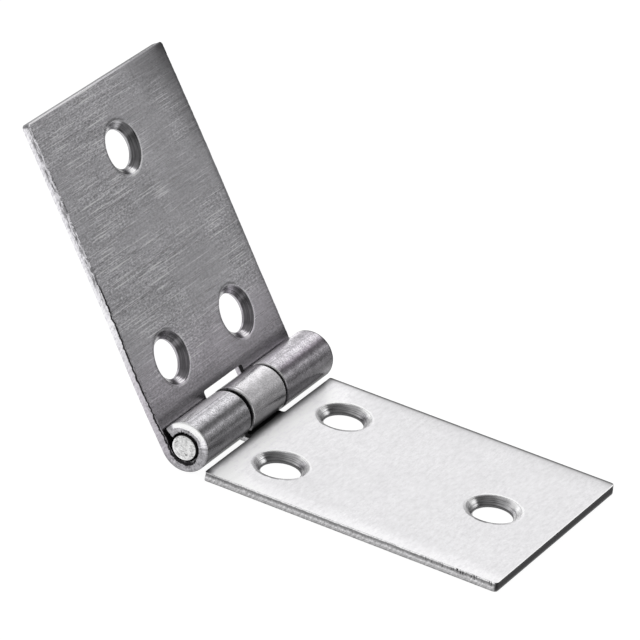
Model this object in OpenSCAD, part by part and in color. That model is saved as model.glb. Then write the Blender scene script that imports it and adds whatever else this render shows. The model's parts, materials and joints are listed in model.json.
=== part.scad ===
// Wide butt hinge, rolled from sheet steel and stored part open.
// The single-knuckle leaf lies on z = 0 and reaches along +X. The pin runs along Y
// above x = 0. The two-knuckle leaf stands up at its opening angle on the -X side.

/* [Leaves] */
// Width of each leaf, along the pin
leaf_width = 30; // [26:0.5:40]
// Distance from the pin's centre line to the free end of a leaf
leaf_reach = 41.5; // [34:0.5:60]
// Thickness of the sheet
sheet = 1.2; // [0.9:0.05:1.5]
// Radius of the leaves' outer corners
corner_r = 0.5; // [0.2:0.1:2]
// Radius left by the punch in the inner corners of the slot and the notches
punch_r = 0.3; // [0.2:0.05:0.35]
// Angle between the leaves' countersunk faces, as stored
open_angle = 124.5; // [60:0.5:180]

/* [Knuckles] */
// Length of the single knuckle
middle_knuckle = 7.5; // [6:0.1:9]
// End play between the first knuckle, at the -Y end, and the single knuckle
first_gap = 0.85; // [0.2:0.05:1.5]
// End play between the single knuckle and the last knuckle
last_gap = 0.55; // [0.2:0.05:1.5]
// How far the two-knuckle leaf stands out past the other leaf at the +Y end
side_offset = 0.25; // [0:0.05:0.5]
// How far below the pin's level a rolled strip ends, as an angle
curl_end = 30; // [20:1:32]
// Slope of the rolled strip's sheared end against its leaf
curl_end_slope = 20; // [10:1:30]
// Clearance between the single knuckle and the edge of the slot behind it
slot_clear = 0.93; // [0.4:0.01:1.5]
// Clearance between the outer knuckles and the edges of the notches beside them
notch_clear = 0.54; // [0.4:0.01:1.5]

/* [Pin] */
// Diameter of the pin where the outer knuckles turn on it
pin_d = 3.6; // [2.5:0.1:5]
// Radial running clearance of the outer knuckles on the pin
pin_clear = 0.1; // [0.02:0.01:0.1]
// How far each end of the pin stands out of the barrel
pin_proud = 0.2; // [0:0.05:0.5]
// Length of the taper at each cropped end of the pin
pin_taper = 0.8; // [0.3:0.1:1.5]
// How much smaller the pin's diameter is at its cropped ends
pin_end_draw = 0.5; // [0.1:0.1:1]
// Length left plain at each side of the swelled band that grips the single knuckle
grip_inset = 1; // [0.5:0.1:2]
// Slope length at each end of the swelled band
grip_lead = 0.3; // [0.1:0.05:0.5]

/* [Screw holes] */
// Diameter of the screw holes
hole_d = 4.8; // [3:0.1:5]
// Diameter of the countersinks at the leaf's face
sink_d = 6.5; // [5.5:0.1:6.8]
// Included angle of the countersinks
sink_angle = 90; // [82:1:100]
// Distance from the pin's centre line to the pair of holes
pair_reach = 9.15; // [8.5:0.05:14]
// Spacing of the pair of holes, along the pin
pair_spacing = 15.2; // [10:0.1:16]
// Distance from the single hole to the leaf's free end
end_inset = 8.3; // [5:0.1:12]

/* [Hidden] */
// Overshoot of cutting shapes past the surface that they cut
over = 0.5;
// Fineness of round shapes
$fa = 3;
$fs = 0.1;
half_width = leaf_width / 2;
bore_r = pin_d / 2 + pin_clear;
barrel_r = bore_r + sheet;
// Heights of a leaf's two faces, measured from the pin's centre line
back_h = -barrel_r;
face_h = -bore_r;
// Edge of a cut-out that stays clear of the knuckle turning beside it
slot_edge = sqrt(pow(barrel_r + slot_clear, 2) - pow(bore_r, 2));
notch_edge = sqrt(pow(barrel_r + notch_clear, 2) - pow(bore_r, 2));
// Places along the pin where the knuckles begin and end
barrel_start = -half_width + side_offset;
barrel_end = half_width + side_offset;
middle_start = -middle_knuckle / 2;
middle_end = middle_knuckle / 2;
slot_start = middle_start - first_gap;
slot_end = middle_end + last_gap;
sink_depth = (sink_d - hole_d) / 2 / tan(sink_angle / 2);

// The sheet from a leaf's flat tangent point round the pin to its sheared end
module curl_section() {
    tip = barrel_r * [cos(curl_end), -sin(curl_end)];
    slope = [cos(curl_end_slope), -sin(curl_end_slope)];
    far = barrel_r + over;
    difference() {
        circle(r = barrel_r);
        circle(r = bore_r);
        polygon([[0, -far], [far, -far], tip + over * slope, tip - (sheet + over) * slope, [0, -over]]);
    }
}

// One knuckle, from y_start to y_end along the pin
module knuckle(y_start, y_end) {
    translate([0, y_end, 0])
        rotate([90, 0, 0])
            linear_extrude(y_end - y_start)
                curl_section();
}

// What is taken off an outer corner at the origin, the leaf lying towards -X and -Y
module corner_cut() {
    difference() {
        translate([-corner_r, -corner_r]) square(corner_r + over);
        translate([-corner_r, -corner_r]) circle(corner_r);
    }
}

// A cut-out from the knuckle line to x = depth, with the punch's radius in its inner corners
module cut_out(depth, y_start, y_end) {
    difference() {
        translate([-over, y_start]) square([depth + over, y_end - y_start]);
        translate([depth, y_start]) mirror([0, 1]) punch_corner();
        translate([depth, y_end]) punch_corner();
    }
}

// Sheet left standing in an inner corner at the origin, the cut-out lying towards -X and -Y
module punch_corner() {
    difference() {
        translate([-punch_r, -punch_r]) square(punch_r + over);
        translate([-punch_r, -punch_r]) circle(punch_r);
    }
}

// A screw hole with its countersink in the leaf's face
module screw_hole() {
    spread = over * tan(sink_angle / 2);
    translate([0, 0, back_h - over])
        cylinder(d = hole_d, h = sheet + 2 * over);
    translate([0, 0, face_h - sink_depth])
        cylinder(d1 = hole_d, d2 = sink_d + 2 * spread, h = sink_depth + over);
}

// The flat of a leaf, moved along the pin by offset_y, with the children cut out of its outline
module plate(offset_y) {
    difference() {
        translate([0, 0, back_h])
            linear_extrude(sheet)
                difference() {
                    translate([0, offset_y - half_width]) square([leaf_reach, leaf_width]);
                    children();
                    translate([leaf_reach, offset_y + half_width]) corner_cut();
                    translate([leaf_reach, offset_y - half_width]) mirror([0, 1]) corner_cut();
                }
        for (side = [-1, 1])
            translate([pair_reach, side * pair_spacing / 2, 0]) screw_hole();
        translate([leaf_reach - end_inset, 0, 0]) screw_hole();
    }
}

// The leaf with the single knuckle in the middle and a notch at each side of it
module one_knuckle_leaf() {
    color([0.86, 0.86, 0.87])
        translate([0, 0, barrel_r]) {
            plate(0) {
                cut_out(notch_edge, -half_width - over, middle_start);
                cut_out(notch_edge, middle_end, half_width + over);
            }
            knuckle(middle_start, middle_end);
        }
}

// The leaf with two knuckles and the slot between them, turned up to its opening angle
module two_knuckle_leaf() {
    color([0.62, 0.62, 0.63])
        translate([0, 0, barrel_r])
            rotate([0, 180 - open_angle, 0])
                mirror([1, 0, 0]) {
                    plate(side_offset) cut_out(slot_edge, slot_start, slot_end);
                    knuckle(barrel_start, slot_start);
                    knuckle(slot_end, barrel_end);
                }
}

// The pin: tapered cropped ends, plain lengths for the outer knuckles to turn on, and a swelled
// band that grips the single one
module hinge_pin() {
    pin_r = pin_d / 2;
    end_r = (pin_d - pin_end_draw) / 2;
    start = barrel_start - pin_proud;
    end = barrel_end + pin_proud;
    grip_start = middle_start + grip_inset;
    grip_end = middle_end - grip_inset;
    color([0.8, 0.8, 0.8])
        translate([0, 0, barrel_r])
            rotate([-90, 0, 0])
                rotate_extrude()
                    polygon([
                        [0, start],
                        [end_r, start],
                        [pin_r, start + pin_taper],
                        [pin_r, grip_start - grip_lead],
                        [bore_r, grip_start],
                        [bore_r, grip_end],
                        [pin_r, grip_end + grip_lead],
                        [pin_r, end - pin_taper],
                        [end_r, end],
                        [0, end]
                    ]);
}

one_knuckle_leaf();
two_knuckle_leaf();
hinge_pin();
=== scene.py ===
import json
import math
import bpy
import numpy as np
from mathutils import Euler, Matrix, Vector
from mathutils.geometry import delaunay_2d_cdt


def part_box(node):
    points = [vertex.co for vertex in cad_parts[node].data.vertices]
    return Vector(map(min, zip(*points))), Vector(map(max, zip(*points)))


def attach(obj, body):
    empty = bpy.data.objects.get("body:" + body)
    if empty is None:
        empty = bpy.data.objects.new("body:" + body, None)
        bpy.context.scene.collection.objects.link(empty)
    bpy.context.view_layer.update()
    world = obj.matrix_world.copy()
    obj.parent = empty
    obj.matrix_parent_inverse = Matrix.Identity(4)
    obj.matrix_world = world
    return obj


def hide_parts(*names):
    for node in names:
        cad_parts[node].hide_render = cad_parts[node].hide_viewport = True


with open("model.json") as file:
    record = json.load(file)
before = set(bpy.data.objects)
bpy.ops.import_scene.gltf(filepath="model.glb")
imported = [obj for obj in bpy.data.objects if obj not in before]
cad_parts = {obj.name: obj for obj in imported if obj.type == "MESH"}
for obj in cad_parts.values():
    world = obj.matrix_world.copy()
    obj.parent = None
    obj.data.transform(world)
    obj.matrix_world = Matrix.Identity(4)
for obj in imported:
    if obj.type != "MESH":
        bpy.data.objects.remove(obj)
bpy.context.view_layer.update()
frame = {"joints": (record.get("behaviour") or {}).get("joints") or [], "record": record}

# The single-knuckle leaf lies flat. It is one blank of brushed sheet steel with three countersunk screw
# holes and a notch punched out at each side, and the strip between the notches is rolled up round the pin.
# Sizes are in millimetres: u runs along the blank from the line where it starts to roll, y along the pin.
MM = 0.001
swing = frame["joints"][0]
mounts = {mount["name"]: mount for mount in frame["record"]["mounts"]}
leaf_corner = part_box("one_knuckle_leaf")[1]
leaf_reach = leaf_corner.x / MM
leaf_half = leaf_corner.y / MM
sheet = 1.2
pin_height = swing["pos_m"][2] / MM
bore_r = pin_height - sheet
mean_r = pin_height - sheet / 2
curl_turn = math.radians(300)
curl_length = curl_turn * mean_r
# How much further the rolled strip reaches at its face than at its back, and the length that leans so
curl_lean = 0.28
lean_reach = 2
knuckle_half = 3.75
notch_edge = 3.1
# Radii of the blank's corners
outer_corner = 0.5
notch_corner = 0.25
punch_corner = 0.3
tip_corner = 0.2
hole_r = mounts["fixed_leaf_end_screw_hole"]["dims"]["r_mm"]
hole_places = [
    (mount["pos_m"][0] / MM, mount["pos_m"][1] / MM)
    for name, mount in mounts.items()
    if name.startswith("fixed_leaf") and mount["kind"] == "bore"
]
edge_step = 0.12
hole_steps = 144
# Spacing of the points inside the outline: round the curl, along the pin there, and on the flat
curl_step = 0.16
row_step = 0.32
flat_step = 0.9
# How ragged a side is where the shears cut it cleanly, and how far ragged edges wear in and wander in depth
clean_cut = 0.12
edge_wear = 0.06
edge_stray = 0.045
# How far the rolled strip's rims are rounded at the back, and turned in towards the pin at the face
rim_round = 0.05
rim_turned_in = 0.09
sink_chatter = 0.006
# Depth below the face, inset from the nominal edge, and share of the edge's raggedness
SHEARED_EDGE = (
    (0.0, 0.02, 1.0), (0.02, 0.0, 1.0), (0.07, 0.0, 0.8), (0.18, 0.01, 1.0), (0.3, 0.02, 1.0),
    (0.44, 0.02, 1.0), (0.56, 0.01, 0.6), (0.7, 0.0, 0.2), (0.95, 0.0, 0.15), (1.12, 0.0, 0.15),
    (1.165, 0.01, 0.15), (1.19, 0.03, 0.15), (1.2, 0.07, 0.15),
)
# Depth below the face and radius, from the raised lip down the countersink and the land under it
SINK_PROFILE = (
    (0.0, 3.4), (-0.014, 3.34), (-0.016, 3.3), (0.0, 3.26), (0.05, 3.205), (0.13, 3.12), (0.22, 3.035),
    (0.3, 2.945), (0.4, 2.855), (0.5, 2.745), (0.6, 2.655), (0.7, 2.545), (0.8, 2.455), (0.85, 2.405),
    (0.88, 2.4), (1.0, 2.4), (1.12, 2.4), (1.17, 2.42), (1.2, 2.47),
)
lip_r = SINK_PROFILE[0][1]
# Width over which places across a leaf are counted from 0 to 1, a little more than the leaf
across_span = 32
# What a point of the blank belongs to, as the steel reads it
PLAIN, WALL, SINK = (0.0, 0.0, 0.0), (1.0, 0.0, 0.0), (0.0, 1.0, 0.0)


def walk(corners, step):
    """Points along a straight-sided outline with rounded corners, their outward normals and side numbers."""
    points, normals, sides = [], [], []
    count = len(corners)
    spots = [np.array(corner[:2], float) for corner in corners]
    ways = [spots[(k + 1) % count] - spots[k] for k in range(count)]
    ways = [way / np.linalg.norm(way) for way in ways]
    for k, corner in enumerate(corners):
        before, after, radius = ways[k - 1], ways[k], corner[2]
        turn = np.sign(before[0] * after[1] - before[1] * after[0])
        centre = spots[k] + radius * (after - before)
        out_before = np.array([before[1], -before[0]])
        out_after = np.array([after[1], -after[0]])
        arc_steps = max(4, math.ceil(radius * math.pi / 2 / step))
        for t in np.linspace(0, math.pi / 2, arc_steps + 1):
            normal = out_before * math.cos(t) + out_after * math.sin(t)
            points.append(centre + turn * radius * normal)
            normals.append(normal)
            sides.append(k)
        start = points[-1]
        end = spots[(k + 1) % count] - after * corners[(k + 1) % count][2]
        side_steps = math.ceil(np.linalg.norm(end - start) / step)
        for t in np.linspace(0, 1, side_steps + 1)[1:-1]:
            points.append(start + t * (end - start))
            normals.append(out_after)
            sides.append(k)
    return np.array(points), np.array(normals), np.array(sides)


def wander(draw, count, reach):
    """A closed run of random numbers about 0 that changes over about reach steps."""
    wave = np.fft.rfft(draw.normal(size=count))
    wave *= np.exp(-2 * (np.arange(len(wave)) * reach / count) ** 2)
    wave[0] = 0
    run = np.fft.irfft(wave, count)
    return run / run.std()


def inside(spots, loop):
    """Which spots lie inside a closed loop of points."""
    ends = np.roll(loop, -1, 0)
    held = np.zeros(len(spots), bool)
    for part in np.array_split(np.arange(len(spots)), 1 + len(spots) // 2000):
        x, y = spots[part, 0][:, None], spots[part, 1][:, None]
        crosses = (loop[:, 1] > y) != (ends[:, 1] > y)
        rise = np.where(ends[:, 1] == loop[:, 1], 1, ends[:, 1] - loop[:, 1])
        meets = loop[:, 0] + (y - loop[:, 1]) * (ends[:, 0] - loop[:, 0]) / rise
        held[part] = (crosses & (x < meets)).sum(1) % 2 == 1
    return held


def spread_points(outline):
    """Points inside the blank: close rows where it is rolled, and a wide grid on the flat."""
    half = leaf_half + 1
    rolled = np.meshgrid(np.arange(-curl_length, 0.2, curl_step), np.arange(-half, half, row_step))
    flat = np.meshgrid(np.arange(0.4, leaf_reach, flat_step), np.arange(-half, half, flat_step))
    kept = []
    for grid, room in ((rolled, 0.24), (flat, 0.55)):
        spots = np.stack(grid, -1).reshape(-1, 2)
        spots = spots[inside(spots, outline)]
        for part in np.array_split(spots, 1 + len(spots) // 1000):
            gaps = np.linalg.norm(part[:, None] - outline[None], axis=2).min(1)
            clear = gaps > room
            for place in hole_places:
                clear &= np.linalg.norm(part - place, axis=1) > lip_r + room
            kept.append(part[clear])
    return np.concatenate(kept)


class Blank:
    """A flat blank, built up wall by wall as a closed mesh with the marks that its steel reads."""

    def __init__(self):
        self.places, self.marks, self.faces = [], [], []
        self.rims = {"face": [], "back": []}
        self.total = 0

    def add(self, spots, depths, mark):
        """Adds points with their depths and one mark, and returns their numbers."""
        count = len(spots)
        self.places.append(np.column_stack([spots, depths]))
        self.marks.append(np.tile(mark, (count, 1)))
        self.total += count
        return np.arange(self.total - count, self.total)

    def cut(self, points, normals, rows):
        """Cuts a wall from the face to the back; each row of it has its depths, its insets and its mark."""
        rings = [points - normals * insets[:, None] for depths, insets, mark in rows]
        index = np.stack([self.add(ring, depths, mark) for ring, (depths, insets, mark) in zip(rings, rows)])
        after = np.roll(index, -1, 1)
        quads = np.stack([index[:-1], index[1:], after[1:], after[:-1]], -1)
        self.faces.extend(quads.reshape(-1, 4).tolist())
        self.rims["face"].append((index[0], rings[0]))
        self.rims["back"].append((index[-1], rings[-1]))

    def fill(self, side, depth, inner):
        """Fills the face or the back between its rims, by way of the inner points."""
        rims = self.rims[side]
        spots = np.concatenate([ring for index, ring in rims] + [inner])
        inner_index = self.add(inner, np.full(len(inner), depth), PLAIN)
        index = np.concatenate([rim_index for rim_index, ring in rims] + [inner_index])
        ties, start = [], 0
        for rim_index, ring in rims:
            ties += [(start + k, start + (k + 1) % len(ring)) for k in range(len(ring))]
            start += len(ring)
        found = delaunay_2d_cdt([Vector(spot) for spot in spots], ties, [], 0, 1e-7, True)
        source = np.array([own[0] if own else -1 for own in found[3]])
        triangles = source[np.array(found[2])]
        triangles = triangles[(triangles >= 0).all(1)]
        middles = spots[triangles].mean(1)
        kept = inside(middles, rims[0][1])
        for rim_index, ring in rims[1:]:
            kept &= ~inside(middles, ring)
        triangles = index[triangles[kept]]
        self.faces.extend((triangles if side == "face" else triangles[:, ::-1]).tolist())

    def mesh(self, name):
        """The blank in metres, with sharp rims and with what the steel reads stored on its points."""
        at = np.concatenate(self.places)
        near_tip = np.clip((-at[:, 0] - curl_length + lean_reach) / lean_reach, 0, 1)
        at[:, 0] -= curl_lean * (1 - at[:, 2] / sheet) * near_tip ** 2
        mesh = bpy.data.meshes.new(name)
        flat = np.column_stack([at[:, 0], at[:, 1], -bore_r - at[:, 2]]) * MM
        mesh.from_pydata(flat.tolist(), [], self.faces)
        mesh.polygons.foreach_set("use_smooth", [True] * len(mesh.polygons))
        holes = np.array(hole_places)
        spans = np.linalg.norm(at[:, None, :2] - holes[None], axis=2)
        from_hole = at[:, :2] - holes[spans.argmin(1)]
        bores = np.column_stack([from_hole, spans.min(1) < lip_r + 1])
        for label, values in (("blank", at), ("cut", np.concatenate(self.marks)), ("bore", bores)):
            attribute = mesh.attributes.new(label, "FLOAT_VECTOR", "POINT")
            attribute.data.foreach_set("vector", values.astype(np.float32).ravel())
        ends = np.zeros(len(mesh.edges) * 2, np.int32)
        mesh.edges.foreach_get("vertices", ends)
        ends = ends.reshape(-1, 2)
        apart = np.abs(ends[:, 0] - ends[:, 1])
        creased = np.zeros(len(ends), bool)
        for index, ring in self.rims["face"] + self.rims["back"]:
            held = ((ends >= index[0]) & (ends <= index[-1])).all(1)
            creased |= held & ((apart == 1) | (apart == len(index) - 1))
        edge_shade_line = mesh.attributes.new("sharp_edge", "BOOLEAN", "EDGE")
        edge_shade_line.data.foreach_set("value", creased)
        mesh.update()
        return mesh


def shear_outline(blank, draw, corners, ragged_sides, bows):
    """Cuts the blank's outline, torn and worn as the shears leave it, and returns its nominal points."""
    points, normals, sides = walk(corners, edge_step)
    count = len(points)
    for way, swell, middle, reach in bows:
        outer = np.clip(way * normals[:, 1], 0, 1) * (way * points[:, 1] > leaf_half - 1)
        points[:, 1] += way * swell * outer * np.exp(-((points[:, 0] - middle) / reach) ** 2)
    ragged = np.array([ragged_sides.get(int(side), clean_cut) for side in sides])
    blend = 7
    window = np.hanning(2 * blend + 1) / np.hanning(2 * blend + 1).sum()
    ragged = np.convolve(np.concatenate([ragged[-blend:], ragged, ragged[:blend]]), window, "valid")
    drift = wander(draw, count, 12)
    curled = np.clip(-points[:, 0], 0, 1)
    depths, insets = [], []
    last_row = len(SHEARED_EDGE) - 1
    for row, (depth, inset, share) in enumerate(SHEARED_EDGE):
        torn = 0.5 * np.abs(wander(draw, count, 2)) + 0.6 * np.abs(drift + 0.6 * wander(draw, count, 5))
        rounding = curled * rim_round * max(0, (depth - 0.95) / 0.25) ** 1.5
        insets.append(inset + edge_wear * share * ragged * torn + rounding)
        stray = 0 if row in (0, last_row) else edge_stray * share
        turned_in = curled * (rim_turned_in if row < 2 else 0)
        depths.append(depth - turned_in + stray * ragged * wander(draw, count, 2))
    for lower, upper in zip(depths[:-1], depths[1:]):
        np.maximum(upper, lower + 0.008, out=upper)
    depths[-1][:] = sheet
    marks = [PLAIN] + [WALL] * (last_row - 1) + [PLAIN]
    blank.cut(points, normals, list(zip(depths, insets, marks)))
    return points


def sink_holes(blank, draw):
    """Cuts the screw holes with their countersinks, which the drill leaves slightly out of round."""
    turn = np.arange(hole_steps) * 2 * math.pi / hole_steps
    around = np.column_stack([np.cos(turn), -np.sin(turn)])
    last_row = len(SINK_PROFILE) - 1
    for place in hole_places:
        chatter = sink_chatter * wander(draw, hole_steps, 8)
        rows = []
        for row, (depth, radius) in enumerate(SINK_PROFILE):
            shake = chatter if radius > hole_r + 0.1 else 0 * turn
            mark = SINK if depth >= 0 and 0 < row < last_row else PLAIN
            rows.append((np.full(hole_steps, depth), radius - hole_r + shake, mark))
        blank.cut(np.array(place) + hole_r * around, -around, rows)


def make_blank(name, corners, ragged_sides, seed, bows=()):
    """The flat blank of a leaf: its outline, its screw holes, its face and its back."""
    blank = Blank()
    draw = np.random.default_rng(seed)
    outline = shear_outline(blank, draw, corners, ragged_sides, bows)
    sink_holes(blank, draw)
    inner = spread_points(outline)
    blank.fill("face", 0.0, inner)
    blank.fill("back", sheet, inner)
    return blank.mesh(name)


class Wire:
    """An output in a node tree that takes part in Python arithmetic."""

    def __init__(self, tree, socket):
        self.tree = tree
        self.socket = socket

    def node(self, kind, settings=None, inputs=None, output=0):
        """Adds a node: its settings are made first, then its inputs are given values or joined."""
        made = self.tree.nodes.new(kind)
        for name, value in (settings or {}).items():
            if name == "stops":
                ramp = made.color_ramp
                for place, shade in value[2:]:
                    ramp.elements.new(place)
                for stop, (place, shade) in zip(ramp.elements, value):
                    stop.position = place
                    stop.color = (shade, shade, shade, 1) if isinstance(shade, (int, float)) else (*shade, 1)
            else:
                setattr(made, name, value)
        for name, value in (inputs or {}).items():
            if isinstance(value, Wire):
                self.tree.links.new(value.socket, made.inputs[name])
            else:
                made.inputs[name].default_value = value
        return Wire(self.tree, made.outputs[output]) if made.outputs else made

    def other(self, output):
        """Another output of the same node."""
        return Wire(self.tree, self.socket.node.outputs[output])

    def maths(self, operation, *values):
        return self.node("ShaderNodeMath", {"operation": operation}, dict(enumerate(values)))

    def __add__(self, value):
        return self.maths("ADD", self, value)

    def __radd__(self, value):
        return self.maths("ADD", value, self)

    def __sub__(self, value):
        return self.maths("SUBTRACT", self, value)

    def __rsub__(self, value):
        return self.maths("SUBTRACT", value, self)

    def __mul__(self, value):
        return self.maths("MULTIPLY", self, value)

    def __rmul__(self, value):
        return self.maths("MULTIPLY", value, self)

    def __truediv__(self, value):
        return self.maths("DIVIDE", self, value)

    def __pow__(self, value):
        return self.maths("POWER", self, value)

    def at_least(self, value):
        return self.maths("MAXIMUM", self, value)

    def at_most(self, value):
        return self.maths("MINIMUM", self, value)

    def toward(self, goal, share):
        """This value moved by a share of the way to the goal."""
        return self + share * (goal - self)

    def between(self, low, high):
        """A soft step from 0 at low to 1 at high."""
        if low > high:
            return 1 - self.between(high, low)
        limits = {"Value": self, "From Min": low, "From Max": high}
        return self.node("ShaderNodeMapRange", {"interpolation_type": "SMOOTHSTEP"}, limits)

    def near(self, middle, half):
        """1 at the middle, falling to 0 at a distance of half."""
        return self.maths("ABSOLUTE", self - middle).between(half, 0.0)

    def ramp(self, stops):
        """A run of levels read off by position; each stop is a position and a level."""
        shades = self.node("ShaderNodeValToRGB", {"stops": stops}, {0: self})
        return shades.node("ShaderNodeSeparateColor", inputs={0: shades})

    def parts(self):
        """The three parts of a vector."""
        split = self.node("ShaderNodeSeparateXYZ", inputs={0: self})
        return split, split.other(1), split.other(2)

    def vector(self, x, y, z):
        return self.node("ShaderNodeCombineXYZ", inputs={0: x, 1: y, 2: z})

    def noise(self, x, y, z, detail=2.0, rough=0.5, warp=0.0):
        """Noise between 0 and 1 over three coordinates that are already scaled."""
        place = self.vector(x, y, z)
        return self.node("ShaderNodeTexNoise", inputs={
            "Vector": place, "Scale": 1.0, "Detail": detail, "Roughness": rough, "Distortion": warp})

    def grey(self, tint):
        """A colour of this lightness with a tint."""
        return self.node("ShaderNodeCombineColor", inputs={
            0: self * tint[0], 1: self * tint[1], 2: self * tint[2]})


def roll_tree():
    """Rolls a flat blank round the pin, and turns it to where its leaf stands."""
    tree = bpy.data.node_groups.new("roll_round_the_pin", "GeometryNodeTree")
    face = tree.interface
    face.new_socket("Blank", in_out="INPUT", socket_type="NodeSocketGeometry")
    for label in ("Mean radius", "Pin height", "Turn", "Facing"):
        face.new_socket(label, in_out="INPUT", socket_type="NodeSocketFloat")
    face.new_socket("Steel", in_out="INPUT", socket_type="NodeSocketMaterial")
    face.new_socket("Leaf", in_out="OUTPUT", socket_type="NodeSocketGeometry")
    given = tree.nodes.new("NodeGroupInput")
    wires = {socket.name: Wire(tree, socket) for socket in given.outputs if socket.name}
    blank = wires["Blank"]
    place = blank.node("GeometryNodeInputPosition")
    along, across, height = place.parts()
    angle = (0 - along).at_least(0.0) / wires["Mean radius"]
    reach = along.at_least(0.0)
    rolled = place.vector(
        reach + height * angle.maths("SINE", angle), across, height * angle.maths("COSINE", angle))
    curled = blank.node("GeometryNodeSetPosition", inputs={"Geometry": blank, "Position": rolled})
    stood = curled.node("GeometryNodeTransform", inputs={
        "Geometry": curled,
        "Translation": place.vector(0.0, 0.0, wires["Pin height"]),
        "Rotation": place.vector(0.0, 0 - wires["Turn"], wires["Facing"])})
    whole = stood.node("GeometryNodeRealizeInstances", inputs={"Geometry": stood})
    steel = whole.node("GeometryNodeSetMaterial", inputs={"Geometry": whole, "Material": wires["Steel"]})
    end = tree.nodes.new("NodeGroupOutput")
    tree.links.new(steel.socket, end.inputs["Leaf"])
    return tree


ROLL = roll_tree()


def roll_leaf(name, mesh, turn, facing, steel):
    """The leaf rolled and turned from its blank, as a plain mesh in its place."""
    sheet_object = bpy.data.objects.new(name + "_blank", mesh)
    bpy.context.scene.collection.objects.link(sheet_object)
    roll = sheet_object.modifiers.new("roll", "NODES")
    roll.node_group = ROLL
    values = {
        "Mean radius": mean_r * MM, "Pin height": pin_height * MM, "Turn": turn, "Facing": facing,
        "Steel": steel}
    for item in ROLL.interface.items_tree:
        if item.name in values:
            roll[item.identifier] = values[item.name]
    bpy.context.view_layer.update()
    shape = sheet_object.evaluated_get(bpy.context.evaluated_depsgraph_get())
    leaf = bpy.data.objects.new(name, bpy.data.meshes.new_from_object(shape))
    leaf.data.name = name
    bpy.context.scene.collection.objects.link(leaf)
    bpy.data.objects.remove(sheet_object)
    return leaf


def new_material(name):
    """A material without nodes, and the wire that its nodes are added through."""
    material = bpy.data.materials.new(name)
    material.use_nodes = True
    material.node_tree.nodes.clear()
    return material, Wire(material.node_tree, None)


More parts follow.
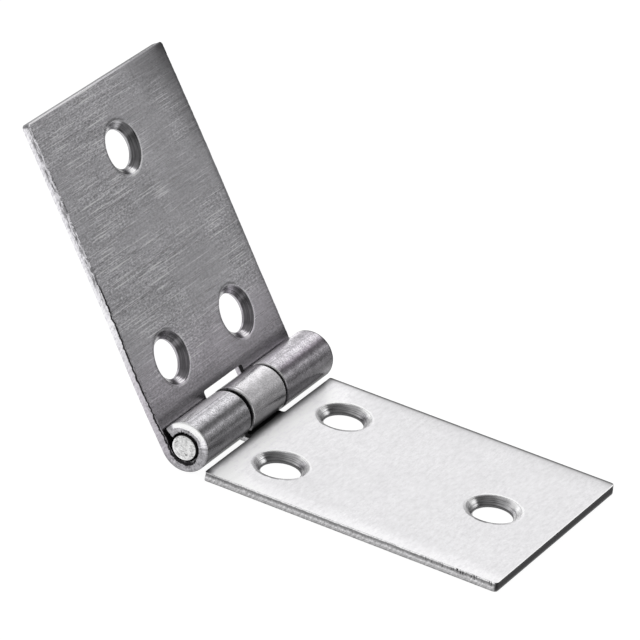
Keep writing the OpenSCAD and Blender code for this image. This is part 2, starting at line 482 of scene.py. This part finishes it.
def steel_material(name, look):
    """Sheet steel brushed along the pin, torn and mottled on its cut edges and turned in its countersinks."""
    material, start = new_material(name)
    seed = look["seed"]
    blank, cut, bore = (
        start.node("ShaderNodeAttribute", {"attribute_name": label}, output="Vector")
        for label in ("blank", "cut", "bore"))
    u, y, depth = blank.parts()
    walled, sunk = cut.parts()[:2]
    bore_u, bore_y, by_bore = bore.parts()
    wall = walled.between(0.3, 0.7)
    cone = sunk.between(0.3, 0.7)
    plain = (1 - wall) * (1 - cone)
    # Along the blank from the pin, back round the curl, towards the near side, and through the sheet
    along = u / leaf_reach
    curl_u = 0 - u
    curl_part = u / -curl_length
    rolled = curl_u.between(0.2, 1.6)
    nearward = y * look["near_side"]
    across = (nearward + across_span / 2) / across_span
    near = nearward.between(13.9, 14.3)
    deep = depth / sheet

    # Brushed face
    fine = blank.noise(u * 4.6, y * 0.1, depth + seed, 2.0, 0.6, 0.8)
    medium = blank.noise(u * 5.0, y * 0.38, depth + seed + 6, 2.0, 0.5, 0.4)
    short = blank.noise(u * 5.5, y * 2.4, depth + seed + 4, 2.0, 0.6, 0.3)
    worn = blank.noise(u * 0.14, y * 0.06, depth + seed + 10, 1.0, 0.5)
    cloudy = blank.noise(u * 0.16, y * 0.16, depth + seed + 8, 2.0, 0.5)
    speck = blank.noise(u * 2.3, y * 0.75, depth + seed + 2, 2.0, 0.6)
    scratch = blank.noise(u * 6.5, y * 0.14, depth + seed + 12, 1.0, 0.3).between(0.58, 0.76)
    scratch = look["scratches"] * scratch * along.between(0.09, 0.2)
    # Painted shade over the far corner and along the far edge near it, where the streaks also calm
    shaded_corner = 0.34 * along.between(0.78, 0.98) * across.between(0.36, 0.14)
    shaded_strip = 0.26 * along.between(0.6, 0.76) * across.between(0.16, 0.04)
    corner = look["far_corner"] * (shaded_corner + shaded_strip)
    streak = 0.42 * (fine - 0.5) + 0.3 * (medium - 0.5) + 1.05 * (short - 0.5) + scratch
    streak = streak.at_least(0.75 * streak) * (0.6 + 0.9 * worn.between(0.35, 0.6))
    calm = (0.7 + 0.3 * along.between(0.15, 0.35)) * (1 - 1.4 * corner)
    tone = look["tone"] + look["streak"] * streak * calm
    tone = tone + look["cloud"] * (cloudy - 0.5) + look["speck"] * (speck - 0.5)
    # Painted shade near the barrel and along the edges, and a painted highlight along the lying leaf's near
    # edge
    tone = tone * along.ramp(look["along"]) * across.ramp(look["across"]) * (1 - corner)
    # Painted shade at the far tip corner and in the nook by the notch
    tip = look["corner_tip"] * along.between(0.955, 0.995) * across.between(0.1, 0.04)
    nook_shade = look["near_nook_shade"] * u.between(4.6, 3.2) * across.between(0.925, 0.965)
    tone = tone * (1 - tip) * (1 - nook_shade)
    # A painted highlight along the rim of the free end, weaker towards the far side on the standing leaf
    end_rim_highlight = u.between(leaf_reach - 0.2, leaf_reach - 0.1)
    tone = tone.toward(1, end_rim_highlight * (1 - look["rim_fall"] * across.between(0.6, 0.15)))

    # Rolled barrel. Its bands round the curl are painted highlights and painted shade, lighter towards the
    # near end where it leans and darker on the far knuckle; the scuffs, grit and score are wear.
    scuff = blank.noise(u * 1.5, y * 0.9, depth + seed + 16, 4.0, 0.6)
    grit = blank.noise(u * 6.5, y * 4.5, depth + seed + 20, 3.0, 0.6)
    rubbed = 1 + look["scuff"] * (scuff - 0.5) + look["grit"] * (grit - 0.5)
    lean = look["lean"] * curl_part.between(0.78, 0.815) * (0.1 * nearward)
    far_low = look["far_low"] * curl_part.near(0.5, 0.12) * across.between(0.45, 0.3)
    barrel = 0.75 * curl_part.ramp(look["bands"]) * rubbed * (1 + lean) * (1 - far_low)
    # A painted highlight along the near rim of the middle knuckle, with a thin painted shade line inside it
    glint = look["glint"] * nearward.between(knuckle_half - 0.37, knuckle_half - 0.27)
    barrel = barrel.toward(1, glint * curl_part.near(0.56, 0.1))
    edge_shade_line = look["glint"] * nearward.near(knuckle_half - 0.5, 0.16)
    barrel = barrel * (1 - 0.6 * edge_shade_line * curl_part.near(0.6, 0.12))
    waved = u + 0.25 * (scuff - 0.5)
    score = waved.near(look["score"], 0.1) * nearward.between(6.0, 7.5)
    beside_score = waved.near(look["score"] + 0.22, 0.16)
    barrel = barrel * (1 - 0.55 * score + 0.3 * beside_score)
    tone = tone.toward(barrel, rolled)

    # Sheared walls
    torn = blank.noise(u * 4.5, y * 4.5, depth * 1.5 + seed, 4.0, 0.65)
    grain = blank.noise(u * 2.0, y * 2.0, depth * 4.0 + seed, 3.0, 0.6)
    waver = blank.noise(u * 0.5, y * 0.5, seed + 3, 2.0, 0.6)
    dashes = blank.noise(u * 3.4 + depth * 2.2, 0.0, depth * 1.2 + seed, 1.0, 0.4)
    drop = near * along.ramp(look["drop"])
    level = deep - drop + look["ragged"] * ((torn - 0.5) * 0.5 + (waver - 0.5) * 0.5)
    # Down the wall the lightness is partly the sheared band and the torn one, partly a painted highlight
    # along the top rim; along it, the standing leaf's wall is painted darker towards the barrel.
    wall_tone = level.ramp(look["wall"]) * along.ramp(look["wall_along"])
    lines = blank.noise(u * 0.9, y * 0.9, level * 11.0 + seed, 2.0, 0.5).between(0.4, 0.6)
    step = look["step"] * level.near(0.35, 0.45) * u.between(17.0, 21.0)
    wall_tone = wall_tone * (1 - step * (0.3 + 1.3 * lines))
    wall_tone = wall_tone.toward(0.25, level.between(0.02, -0.02))
    # Painted shade on the wall by the notch
    wall_tone = wall_tone * (1 - look["near_nook_shade"] * 0.6 * level.between(0.4, 0.1) * u.between(8.0, 4.0))
    hatch = blank.noise(u * 9.0, y * 9.0, depth * 5.0 + seed, 2.0, 0.6)
    wall_tone = wall_tone * (1 + look["hatch"] * (hatch - 0.5) + 0.4 * (torn - 0.5) + 0.4 * (grain - 0.5))
    wall_tone = wall_tone * (1 + look["dashes"] * level.between(0.35, 0.5) * (dashes - 0.5))

    # Painted shadow of the burr along the near edge, rubbed off in places
    opened = curl_u.between(3.6, 5.4)
    closing = curl_u.between(-1.5, 0.0) * (1 - opened)
    jag = blank.noise(u * 1.1, y * 1.1, seed + 5, 2.0, 0.6)
    burr_level = level + 0.25 * opened - 0.05 * closing + look["jag"] * (1 - rolled) * (jag - 0.5)
    below_face = burr_level.between(-0.04, 0.0)
    burr = burr_level.ramp(look["burr"]) * below_face.at_least(closing)
    broken = blank.noise(u * 1.6, y * 1.6, seed + 9, 2.0, 0.6).between(0.48, 0.56)
    rubbed_off = u.between(20.0, 25.0) * (1 - look["burr_left"] * broken)
    wall_shade_and_dirt = burr * near * (1 - rubbed_off) * look["burr_shadow"]

    # Ends of the knuckles, the cut-outs and the free end
    pulled = blank.noise(u * 3.5, 0.0, seed, 2.0, 0.6)
    # The knuckles' end faces are torn and mottled, with a painted highlight on an arc of the rim and painted
    # shade deeper down outside it
    end_highlight_arc = curl_u.between(6.2, 8.4) * curl_u.between(12.4, 11.8)
    strip = (level - 0.22 * curl_u.between(10.2, 12.2)).between(0.17, 0.27)
    knuckle_end = 0.42 + 0.7 * (grain - 0.5) + 0.9 * (torn - 0.5) + end_highlight_arc * (0.75 * strip)
    knuckle_end = knuckle_end * (1 - 0.8 * curl_u.near(6.8, 1.5) * pulled.between(0.5, 0.6))
    knuckle_end = knuckle_end * (1 - 0.35 * level.between(0.6, 0.9) * (1 - end_highlight_arc))
    wall_tone = wall_tone.toward(knuckle_end, curl_u.between(-0.5, 0.5))
    spots = u.between(30.0, 34.0) * u.between(41.4, 40.9) * level.between(0.5, 0.4)
    wall_shade_and_dirt = wall_shade_and_dirt.at_least(near * look["spots"] * spots * grit.between(0.54, 0.61))
    # Painted shade on the knuckle ends that face each other across the gaps, and high on the slot's end wall
    inner = (1 - near) * u.between(0.6, 0.0)
    wall_shade_and_dirt = wall_shade_and_dirt.at_least(inner * depth.between(1.1, 0.8))
    punched_wall_shade = (1 - near) * u.between(0.0, 0.6) * u.between(4.5, 3.8)
    wall_shade_and_dirt = wall_shade_and_dirt.at_least(punched_wall_shade * depth.between(0.66, 0.5))
    # The free end's wall is painted: lit along its top rim on the standing leaf, and painted near black as
    # shade on the lying leaf
    free = u.between(leaf_reach - 0.45, leaf_reach - 0.15)
    free_tone = deep.ramp(look["free_wall"]) * (1 - look["free_fall"] * across.between(0.75, 0.1))
    wall_tone = wall_tone.toward(free_tone, free)
    wall_shade_and_dirt = wall_shade_and_dirt.toward(deep.ramp(look["free_end_shade"]), free)

    # Countersinks. The turning marks are real; the lightness of the facets round each cone, the darker side
    # of the end hole, the shade in the bore and the light and shade round the lip are painted.
    ring = (bore_u * bore_u + bore_y * bore_y) ** 0.5
    turned = blank.noise(bore_u * 0.35 + u * 0.02, bore_y * 0.35, depth * 12.0 + seed, 3.0, 0.6)
    spread = bore_u.maths("ARCTAN2", bore_u, bore_y * look["near_side"]) / (2 * math.pi) + 0.5
    facet = (spread + 0.05 * (turned - 0.5)).ramp(look["sink"])
    facet = facet * (1 - look["end_hole_shade"] * along.between(0.5, 0.7) * spread.near(0.89, 0.09))
    cone_tone = facet * (1 + look["turning"] * (turned - 0.5)) * (1 + look["cone_rise"] * (ring - 2.8))
    land = ring.between(hole_r + 0.04, hole_r + 0.01)
    cone_tone = cone_tone.toward(0.5, land)
    lip = plain * ring.between(lip_r + 0.3, lip_r + 0.1) * by_bore.between(0.8, 1.0) * depth.between(0.3, 0.1)
    tone = tone * (1 + lip * (spread.ramp(look["lip"]) - 0.5) * 1.6)

    # Painted shade, dirt and colour
    # Painted shade under the barrel, and a dark line along the barrel's far end
    end_line = look["end_line"] * across.between(0.034, 0.028)
    underside_shade = rolled * curl_part.ramp(look["underside_shade"])
    underside_shade = underside_shade.at_least(rolled * end_line)
    shade_and_dirt = wall * wall_shade_and_dirt + cone * land * look["bore_shade"] + plain * underside_shade
    shade = plain * tone + wall * wall_tone + cone * cone_tone
    far_blush = rolled * across.between(0.45, 0.3) * (0.27 + 0.73 * curl_part.near(0.69, 0.05))
    blush = look["blush"] * (0.4 * (1 - rolled) * along.between(0.35, 0.15) + far_blush)
    blush = blush + look["barrel_blush"] * rolled
    red, green, blue = look["tint"]
    colour = shade.grey((red + blush, green, blue + blush))

    # Gloss and relief
    plain_gloss = look["rough"] + rolled * (look["barrel_rough"] - look["rough"]) + 0.2 * (fine - 0.5)
    cone_gloss = 0.25 + look["sink_dull"] * spread.near(0.81, 0.1)
    gloss = plain * plain_gloss + wall * (0.3 + 0.2 * torn) + cone * cone_gloss
    shoulder = (6.5 - u).at_least(0.0).at_most(3.6)
    shoulder = look["shoulder"] * shoulder * shoulder
    rim = (ring - 2.75).at_least(0.0)
    brow = (u - leaf_reach + 0.2).at_least(0.0)
    relief = plain * (shoulder + 0.3 * (fine + short) + rolled * (scuff + grit)) + wall * torn * 3
    relief = relief - cone * look["sink_round"] * rim * rim
    relief = relief - plain * look["end_round"] * brow * brow
    bump = blank.node("ShaderNodeBump", inputs={"Strength": 1.0, "Distance": 0.000012, "Height": relief})
    bare = blank.node("ShaderNodeBsdfPrincipled", inputs={
        "Metallic": 1.0, "Base Color": colour, "Roughness": gloss, "Normal": bump})
    dark = blank.node("ShaderNodeBsdfPrincipled", inputs={
        "Base Color": (0.016, 0.015, 0.017, 1), "Roughness": 0.6, "Specular IOR Level": 0.2})
    surface = blank.node("ShaderNodeMixShader", inputs={0: shade_and_dirt, 1: bare, 2: dark})
    surface.node("ShaderNodeOutputMaterial", inputs={"Surface": surface})
    return material


one_knuckle_corners = (
    (leaf_reach, -leaf_half, outer_corner), (leaf_reach, leaf_half, outer_corner),
    (notch_edge, leaf_half, notch_corner), (notch_edge, knuckle_half, punch_corner),
    (-curl_length, knuckle_half, tip_corner), (-curl_length, -knuckle_half, tip_corner),
    (notch_edge, -knuckle_half, punch_corner), (notch_edge, -leaf_half, notch_corner),
)
# The sides that are cut more roughly, each by the number of the corner where it starts
one_knuckle_ragged = {7: 0.5}
one_knuckle_mesh = make_blank("one_knuckle_blank", one_knuckle_corners, one_knuckle_ragged, 11)
# Levels along the leaf, across it from the far side to the near one, round the curl and down the walls.
# Most paint light and shade: shade near the barrel and at the edges, highlights on rims, bands round the
# curl.
one_knuckle_look = {
    "seed": 3.0, "near_side": -1.0,
    # Brushed face
    "tone": 0.83, "streak": 0.2, "cloud": 0.1, "speck": 0.28, "scratches": 0.0,
    "far_corner": 0.0, "corner_tip": 0.12, "near_nook_shade": 0.75, "rim_fall": 0.0,
    "along": (
        (0.0, 0.05), (0.075, 0.22), (0.083, 0.5), (0.092, 0.9), (0.1, 1.2), (0.12, 1.22), (0.15, 1.18),
        (0.2, 1.06), (0.3, 1.0), (1.0, 1.0)),
    "across": (
        (0.031, 0.08), (0.038, 0.18), (0.047, 0.72), (0.06, 0.88), (0.09, 0.96), (0.15, 1.0), (0.88, 1.0),
        (0.94, 1.14), (1.0, 1.2)),
    # Rolled barrel, on which the score at 99 lies off the blank
    "scuff": 0.7, "grit": 1.0, "lean": 0.0, "far_low": 0.0, "glint": 1.0, "score": 99.0,
    "bands": (
        (0.0, 0.4), (0.4, 0.3), (0.485, 0.34), (0.5, 0.44), (0.53, 0.64), (0.55, 0.84), (0.563, 1.3),
        (0.585, 1.2), (0.6, 1.04), (0.7, 1.0), (0.735, 0.87), (0.78, 0.86), (0.8, 0.66), (0.817, 0.32),
        (0.833, 0.24), (0.85, 0.36), (0.868, 0.36), (0.9, 0.3), (0.92, 0.2), (0.935, 0.15), (1.0, 0.14)),
    # Sheared walls
    "ragged": 0.3, "hatch": 1.5, "dashes": 1.2, "step": 0.0, "spots": 1.0,
    "wall": (
        (0.0, 1.0), (0.09, 1.0), (0.15, 0.48), (0.19, 0.26), (0.3, 0.25), (0.38, 0.32), (0.48, 0.55),
        (0.56, 0.66), (0.64, 0.58), (0.74, 0.45), (0.84, 0.45), (0.92, 0.3), (1.0, 0.2)),
    "wall_along": ((0.0, 0.9), (1.0, 1.0)),
    "drop": ((0.0, 0.0), (1.0, 0.0)),
    "burr_shadow": 0.0, "burr_left": 0.0, "jag": 0.0,
    "burr": ((0.0, 0.0), (1.0, 0.0)),
    "free_fall": 0.0,
    "free_wall": ((0.0, 0.3), (1.0, 0.5)),
    "free_end_shade": ((0.0, 0.97), (0.6, 0.97), (0.8, 0.9), (0.92, 0.7), (1.0, 0.6)),
    # Countersinks
    "turning": 3.0, "cone_rise": 0.4, "end_hole_shade": 0.0, "bore_shade": 0.8,
    "sink": (
        (0.0, 0.44), (0.04, 0.41), (0.1, 0.42), (0.15, 0.38), (0.19, 0.36), (0.215, 1.0), (0.255, 1.0),
        (0.27, 0.5), (0.33, 0.3), (0.36, 0.5), (0.6, 0.9), (0.7, 1.0), (0.94, 1.0), (0.97, 0.62),
        (1.0, 0.44)),
    "lip": (
        (0.0, 0.75), (0.1, 0.6), (0.25, 0.5), (0.35, 0.25), (0.5, 0.0), (0.62, 0.25), (0.7, 0.5),
        (1.0, 0.75)),
    # Painted shade and colour
    "end_line": 0.0,
    "underside_shade": ((0.0, 0.0), (0.93, 0.0), (0.95, 0.45), (1.0, 0.45)),
    "tint": (1.003, 0.995, 1.013), "blush": 0.0, "barrel_blush": 0.012,
    # Gloss and relief
    "rough": 0.36, "barrel_rough": 0.2, "sink_dull": 0.45, "shoulder": 3.0, "end_round": 0.0,
    "sink_round": 30.0,
}
one_knuckle_steel = steel_material("one_knuckle_steel", one_knuckle_look)
one_knuckle = roll_leaf("brushed_one_knuckle_leaf", one_knuckle_mesh, 0.0, 0.0, one_knuckle_steel)
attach(one_knuckle, "fixed_leaf")
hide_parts("one_knuckle_leaf")

# The two-knuckle leaf stands open at the other side of the pin. It is the same blank with a slot punched
# through the rolled strip for the other leaf's knuckle, and its long sides are sheared more roughly.
fold = math.pi - math.radians(swing["range_deg"][1])
two_low, two_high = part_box("two_knuckle_leaf")
near_end = two_low.y / MM
far_end = two_high.y / MM
slot_edge = 3.55
first_gap = 0.85
last_gap = 0.55
slot_near = -knuckle_half - first_gap
slot_far = knuckle_half + last_gap
# Turned half round about the pin's height, so the blank's y runs the other way
two_knuckle_corners = (
    (leaf_reach, -far_end, outer_corner), (leaf_reach, -near_end, outer_corner),
    (-curl_length, -near_end, tip_corner), (-curl_length, -slot_near, tip_corner),
    (slot_edge, -slot_near, punch_corner), (slot_edge, -slot_far, punch_corner),
    (-curl_length, -slot_far, tip_corner), (-curl_length, -far_end, tip_corner),
)
two_knuckle_ragged = {1: 0.85, 2: 0.3, 7: 0.6}
# Which way a long side bows out, how far, about which place and over what reach
two_knuckle_bows = ((1, 0.25, 7, 7), (-1, 0.2, 27, 12))
two_knuckle_mesh = make_blank(
    "two_knuckle_blank", two_knuckle_corners, two_knuckle_ragged, 12, two_knuckle_bows)
two_knuckle_look = {
    "seed": 40.0, "near_side": 1.0,
    # Brushed face
    "tone": 0.6, "streak": 1.05, "cloud": 0.16, "speck": 0.2, "scratches": 0.45,
    "far_corner": 1.0, "corner_tip": 0.45, "near_nook_shade": 0.0, "rim_fall": 0.95,
    "along": (
        (0.0, 0.6), (0.068, 0.6), (0.074, 0.3), (0.08, 0.27), (0.088, 0.3), (0.095, 0.38), (0.101, 0.52),
        (0.108, 0.76), (0.15, 0.93), (0.2, 1.04), (0.26, 1.03), (0.4, 1.0), (1.0, 1.0)),
    "across": ((0.031, 0.6), (0.04, 0.85), (0.08, 0.95), (0.2, 1.0), (1.0, 1.0)),
    # Rolled barrel
    "scuff": 1.1, "grit": 2.0, "lean": 0.38, "far_low": 0.38, "glint": 0.0, "score": -10.62,
    "bands": (
        (0.0, 0.5), (0.39, 0.32), (0.405, 0.2), (0.44, 0.24), (0.47, 0.28), (0.49, 0.24), (0.505, 0.22),
        (0.535, 0.22), (0.56, 0.25), (0.585, 0.33), (0.602, 0.54), (0.635, 0.67), (0.652, 0.38),
        (0.668, 0.26), (0.685, 0.24), (0.702, 0.6), (0.718, 0.9), (0.735, 1.0), (0.752, 1.0), (0.768, 0.82),
        (0.785, 0.56), (0.8, 0.8), (0.818, 1.27), (0.85, 1.72), (0.88, 2.1), (1.0, 2.2)),
    # Sheared walls
    "ragged": 0.6, "hatch": 0.6, "dashes": 1.0, "step": 0.5, "spots": 0.0,
    "wall": ((0.0, 0.6), (0.1, 0.8), (0.2, 0.95), (0.7, 0.95), (0.9, 0.9), (1.0, 0.7)),
    "wall_along": (
        (0.0, 0.5), (0.1, 0.55), (0.2, 0.68), (0.3, 0.8), (0.4, 1.0), (0.7, 0.98), (0.82, 0.93),
        (0.92, 0.93), (0.97, 1.0), (1.0, 1.0)),
    "drop": (
        (0.0, 0.05), (0.07, 0.15), (0.15, 0.21), (0.22, 0.21), (0.29, 0.17), (0.385, 0.12), (0.48, 0.06),
        (0.56, 0.03), (1.0, 0.02)),
    "burr_shadow": 1.0, "burr_left": 0.6, "jag": 0.4,
    "burr": ((0.0, 1.0), (0.16, 1.0), (0.22, 0.0), (1.0, 0.0)),
    "free_fall": 0.5,
    "free_wall": (
        (0.0, 1.0), (0.16, 1.0), (0.28, 0.5), (0.45, 0.3), (0.72, 0.3), (0.88, 0.42), (1.0, 0.6)),
    "free_end_shade": ((0.0, 0.0), (1.0, 0.0)),
    # Countersinks
    "turning": 3.4, "cone_rise": 0.0, "end_hole_shade": 0.6, "bore_shade": 0.1,
    "sink": (
        (0.0, 0.34), (0.04, 0.34), (0.08, 0.28), (0.12, 0.25), (0.16, 0.13), (0.2, 0.13), (0.215, 0.25),
        (0.23, 0.8), (0.265, 1.0), (0.285, 0.4), (0.3, 0.17), (0.4, 0.17), (0.46, 0.25), (0.55, 0.32),
        (0.68, 0.33), (0.75, 0.4), (0.8, 0.4), (0.84, 0.36), (0.88, 0.34), (0.91, 0.2), (0.96, 0.17),
        (1.0, 0.32)),
    "lip": (
        (0.0, 0.75), (0.15, 0.8), (0.25, 1.0), (0.35, 0.3), (0.6, 0.3), (0.7, 0.15), (0.82, 0.2),
        (0.92, 0.7)),
    # Painted shade and colour
    "end_line": 0.85,
    "underside_shade": ((0.0, 0.0), (0.36, 0.0), (0.385, 0.65), (0.41, 0.62), (0.435, 0.3), (0.46, 0.0)),
    "tint": (1.0, 0.987, 1.028), "blush": 0.085, "barrel_blush": 0.004,
    # Gloss and relief
    "rough": 0.3, "barrel_rough": 0.24, "sink_dull": 0.0, "shoulder": 0.0, "end_round": 240.0,
    "sink_round": 0.0,
}
two_knuckle_steel = steel_material("two_knuckle_steel", two_knuckle_look)
two_knuckle = roll_leaf("brushed_two_knuckle_leaf", two_knuckle_mesh, fold, math.pi, two_knuckle_steel)
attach(two_knuckle, "swing_leaf")
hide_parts("two_knuckle_leaf")

# The pin is a length of drawn wire, cropped at both ends and fast in the single knuckle. Its ends are
# rough and bright; elsewhere it is painted near black as the shade between and inside the knuckles.
pin_low, pin_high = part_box("hinge_pin")
pin_start, pin_end = pin_low.y / MM, pin_high.y / MM
pin_steps = 96
pin_r = 1.8
# Distance from a cropped end and radius there, from the end's middle out to the full wire
PIN_TIP = ((0.0, 0.5), (0.0, 1.0), (0.0, 1.5), (0.03, 1.55), (0.8, pin_r))


def turned(name, profile, steps):
    """A closed body of revolution about the pin's line, from (place along the pin, radius) pairs."""
    verts, faces = [], []
    for along, radius in profile:
        for k in range(steps):
            t = 2 * math.pi * k / steps
            verts.append((radius * math.cos(t) * MM, along * MM, (pin_height + radius * math.sin(t)) * MM))
    for row in range(len(profile) - 1):
        for k in range(steps):
            a, b = row * steps + k, row * steps + (k + 1) % steps
            faces.append((a, a + steps, b + steps, b))
    for along, first, turn in ((profile[0][0], 0, 1), (profile[-1][0], (len(profile) - 1) * steps, -1)):
        hub = len(verts)
        verts.append((0.0, along * MM, pin_height * MM))
        faces += [(hub, first + k, first + (k + 1) % steps)[::turn] for k in range(steps)]
    mesh = bpy.data.meshes.new(name)
    mesh.from_pydata(verts, [], faces)
    mesh.polygons.foreach_set("use_smooth", [True] * len(mesh.polygons))
    body = bpy.data.objects.new(name, mesh)
    bpy.context.scene.collection.objects.link(body)
    return body


first_half = [(pin_start + inset, radius) for inset, radius in PIN_TIP]
second_half = [(pin_end - inset, radius) for inset, radius in reversed(PIN_TIP)]
pin = turned("drawn_hinge_pin", first_half + [(0, pin_r)] + second_half, pin_steps)


def pin_material():
    """Drawn wire with rough cropped ends."""
    material, start = new_material("pin_wire")
    place = start.node("ShaderNodeTexCoord", output="Object")
    x, y, z = place.parts()
    x, y, z = x / MM, y / MM, z / MM - pin_height
    radius = (x * x + z * z) ** 0.5
    middle = (pin_start + pin_end) / 2
    half = (pin_end - pin_start) / 2
    # All but the cropped end discs is painted near black as shade; the discs carry a painted crescent
    # highlight towards the lower left
    end = y.maths("ABSOLUTE", y - middle).between(half - 0.04, half - 0.01) * radius.between(1.57, 1.53)
    rough = place.noise(x * 2.5, z * 2.5, y, 4.0, 0.65, 1.0)
    scores = place.noise(x * 1.5, z * 8, y, 2.0, 0.6)
    crescent_highlight = radius.between(1.3, 1.5) * (x * -0.8 - z * 0.6).between(0.2, 0.9)
    shade = 0.03 + end * (0.74 + 1.4 * (rough - 0.5) - 0.4 * scores.between(0.58, 0.66) + 0.35 * crescent_highlight)
    bump = place.node("ShaderNodeBump", inputs={"Strength": 1.0, "Distance": 0.00008, "Height": rough})
    surface = place.node("ShaderNodeBsdfPrincipled", inputs={
        "Metallic": 1.0, "Base Color": shade.grey((1, 1, 1)), "Roughness": 0.45, "Normal": bump})
    surface.node("ShaderNodeOutputMaterial", inputs={"Surface": surface})
    return material


pin.data.materials.append(pin_material())
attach(pin, "fixed_leaf")
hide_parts("hinge_pin")

# The floor is a wide pale table, a hair below the back of the lying leaf. It shows white to the camera and
# in the steel, and keeps a faint shadow.
floor_size = 20.0
floor_mesh = bpy.data.meshes.new("floor")
floor_corners = [(floor_size * x, floor_size * y, 0) for x, y in ((-1, -1), (1, -1), (1, 1), (-1, 1))]
floor_mesh.from_pydata(floor_corners, [], [(0, 1, 2, 3)])
floor = bpy.data.objects.new("floor", floor_mesh)
bpy.context.scene.collection.objects.link(floor)
floor.location.z = -0.02 * MM
floor_paint, paint = new_material("pale_floor")
seen = paint.node("ShaderNodeLightPath", output="Is Camera Ray")
white = (seen + seen.other("Is Glossy Ray") + seen.other("Is Transmission Ray")).at_most(1.0)
matt = seen.node("ShaderNodeBsdfDiffuse", inputs={"Color": (0.8, 0.8, 0.8, 1)})
faint = seen.node("ShaderNodeBsdfDiffuse", inputs={"Color": (0.22, 0.22, 0.22, 1)})
glow = seen.node("ShaderNodeEmission", inputs={"Color": (1, 1, 1, 1), "Strength": 0.94})
shown = seen.node("ShaderNodeAddShader", inputs={0: faint, 1: glow})
mixed = seen.node("ShaderNodeMixShader", inputs={0: white, 1: matt, 2: shown})
mixed.node("ShaderNodeOutputMaterial", inputs={"Surface": mixed})
floor_mesh.materials.append(floor_paint)

# The light is a soft studio sky: a large bright screen behind and to the left, a dim room elsewhere, and
# two small soft lamps, one at the right and one behind to the left.
world = bpy.data.worlds.new("studio")
bpy.context.scene.world = world
world.use_nodes = True
world.node_tree.nodes.clear()
sky = Wire(world.node_tree, None)
way = sky.node("ShaderNodeTexCoord", output="Generated")
east, north, up = way.parts()
level = (east * east + north * north) ** 0.5
side = east / level
ahead = north / level
backdrop = (side * 0.5 + 0.5).ramp((
    (0.0, 0.5), (0.2, 0.65), (0.29, 0.65), (0.38, 0.6), (0.5, 0.62), (0.65, 0.57), (0.715, 0.5), (0.77, 0.41),
    (0.79, 0.34), (0.86, 0.2), (1.0, 0.12)))
screen = 0.45 * up.between(0.2, 0.42) * side.between(0.1, -0.4)
room = 0.16 + 0.34 * side.between(0.5, -0.5) + 0.12 * up.between(0.2, 0.8)
right_lamp = (east * 0.58 + north * 0.62 + up * 0.53).between(0.975, 0.992)
left_lamp = (east * -0.89 + north * 0.3 + up * 0.33).between(0.94, 0.98)
light = 0.8 * right_lamp + 0.6 * left_lamp + room + ahead.between(-0.1, 0.5) * (backdrop + screen - room)
studio = way.node("ShaderNodeBackground", inputs={"Color": (1, 1, 1, 1), "Strength": light})
studio.node("ShaderNodeOutputWorld", inputs={"Surface": studio})

# The camera looks down on the near end of the pin from far off through a long lens. It is rolled a little
# to its left.
aim = Vector((3.76, 8.61, 11.80)) * MM
view_distance = 0.7253
view_azimuth = math.radians(25.47)
view_elevation = math.radians(27.55)
view_roll = math.radians(7.91)
camera_data = bpy.data.cameras.new("camera")
camera_data.lens = 347.1
camera_data.sensor_width = 36.0
camera_data.clip_start = 0.05
camera_data.clip_end = 100.0
camera = bpy.data.objects.new("camera", camera_data)
bpy.context.scene.collection.objects.link(camera)
back = Vector((
    math.sin(view_azimuth) * math.cos(view_elevation),
    -math.cos(view_azimuth) * math.cos(view_elevation),
    math.sin(view_elevation)))
camera.location = aim + back * view_distance
gaze = (-back).to_track_quat("-Z", "Y")
camera.rotation_euler = (gaze.to_matrix() @ Euler((0, 0, view_roll)).to_matrix()).to_euler()
bpy.context.scene.camera = camera
bpy.context.scene.view_settings.view_transform = "Standard"
